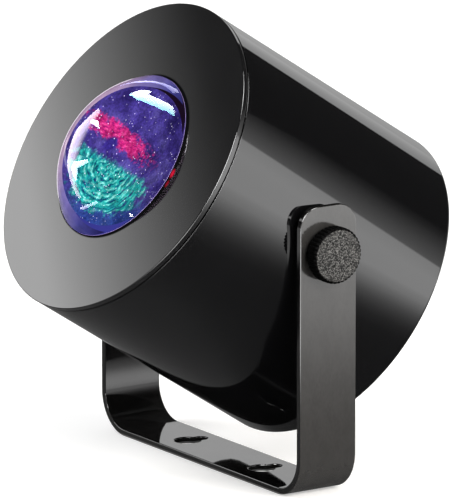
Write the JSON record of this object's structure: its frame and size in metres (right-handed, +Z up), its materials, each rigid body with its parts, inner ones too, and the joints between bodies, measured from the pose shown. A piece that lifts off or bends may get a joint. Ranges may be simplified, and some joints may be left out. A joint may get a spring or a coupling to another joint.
{
  "type": "disco light",
  "caption": "Round black disco light with a domed lens that tilts in a U bracket with thumb knobs; a geared pattern wheel turns inside.",
  "frame": {"origin": "centre of the bracket base's underside, below the tilt axis", "axes": "+X along the tilt axis, -Y the way the beam leaves at rest, +Z up"},
  "size_m": [0.1178, 0.1279, 0.14],
  "materials": {
    "bracket_paint": "gloss",
    "housing_black": "gloss",
    "face_black": "satin",
    "lens_clear": "polished",
    "knob_black": "matte",
    "inner_black": "matte",
    "steel": "satin",
    "brass": "satin",
    "friction_rubber": "matte",
    "sink_aluminium": "satin",
    "white_board": "satin",
    "emitter": "gloss",
    "optic_clear": "polished",
    "wheel_ivory": "satin",
    "pattern_glass": "polished",
    "pinion_acetal": "satin",
    "board_green": "satin",
    "board_parts": "satin",
    "lead_red": "satin",
    "lead_blue": "satin",
    "button_grey": "satin"
  },
  "bodies": {
    "bracket": {"u_bracket": "bracket_paint"},
    "head": {"housing": "housing_black", "front_plate": "face_black", "front_lens": "lens_clear", "lens_ring": "inner_black", "lens_ring_screws": "steel", "optics_frame": "inner_black", "frame_screws": "steel", "gear_motor": "steel", "motor_clamp": "inner_black", "clamp_screws": "steel", "standoffs": "brass", "standoff_screws": "steel", "heat_sink": "sink_aluminium", "sink_screws": "steel", "led_board": "white_board", "led_emitters": "emitter", "collimator": "optic_clear", "collimator_holder": "inner_black", "holder_screws": "steel", "driver_board": "board_green", "driver_parts": "board_parts", "driver_screws": "steel", "dc_socket": "inner_black", "touch_switch": "board_parts", "rear_cover": "face_black", "cover_screws": "steel", "led_lead": "lead_red", "motor_lead": "lead_blue", "right_insert": "brass", "left_insert": "brass", "right_friction_washer": "friction_rubber", "left_friction_washer": "friction_rubber"},
    "effect_wheel": {"effect_wheel": "wheel_ivory", "effect_glass": "pattern_glass", "wheel_clip": "steel"},
    "drive_pinion": {"drive_pinion": "pinion_acetal", "motor_shaft": "steel"},
    "mode_button": {"mode_button": "button_grey"},
    "right_clamp": {"right_washer": "steel"},
    "right_knob": {"right_knob": "knob_black", "right_stud": "steel"},
    "left_clamp": {"left_washer": "steel"},
    "left_knob": {"left_knob": "knob_black", "left_stud": "steel"}
  },
  "joints": [
    {"name": "head_tilt", "type": "hinge", "parent": "bracket", "child": "head", "pos_m": [0, 0, 0.0742], "axis": [1, 0, 0], "range_deg": [-57, 123]},
    {"name": "wheel_spin", "type": "hinge", "parent": "head", "child": "effect_wheel", "pos_m": [0, 0, 0.0742], "axis": [0, -0.8387, 0.5446], "continuous": true},
    {"name": "pinion_spin", "type": "hinge", "parent": "head", "child": "drive_pinion", "pos_m": [0, -0.01963, 0.04397], "axis": [0, -0.8387, 0.5446], "continuous": true},
    {"name": "button_press", "type": "slide", "parent": "head", "child": "mode_button", "axis": [0, -0.8387, 0.5446], "range_m": [0, 0.001], "stiffness_N_per_m": 600, "springref_m": -0.0005},
    {"name": "right_knob_travel", "type": "slide", "parent": "head", "child": "right_clamp", "axis": [1, 0, 0], "range_m": [0, 0.0016]},
    {"name": "right_knob_turn", "type": "hinge", "parent": "right_clamp", "child": "right_knob", "pos_m": [0, 0, 0.0742], "axis": [1, 0, 0], "range_deg": [0, 720]},
    {"name": "left_knob_travel", "type": "slide", "parent": "head", "child": "left_clamp", "axis": [-1, 0, 0], "range_m": [0, 0.0016]},
    {"name": "left_knob_turn", "type": "hinge", "parent": "left_clamp", "child": "left_knob", "pos_m": [0, 0, 0.0742], "axis": [-1, 0, 0], "range_deg": [0, 720]}
  ],
  "couplings": [
    {"joint": "pinion_spin", "follows": "wheel_spin", "ratio": -5},
    {"joint": "right_knob_turn", "follows": "right_knob_travel", "rad_per_m": 7854},
    {"joint": "left_knob_turn", "follows": "left_knob_travel", "rad_per_m": 7854}
  ]
}
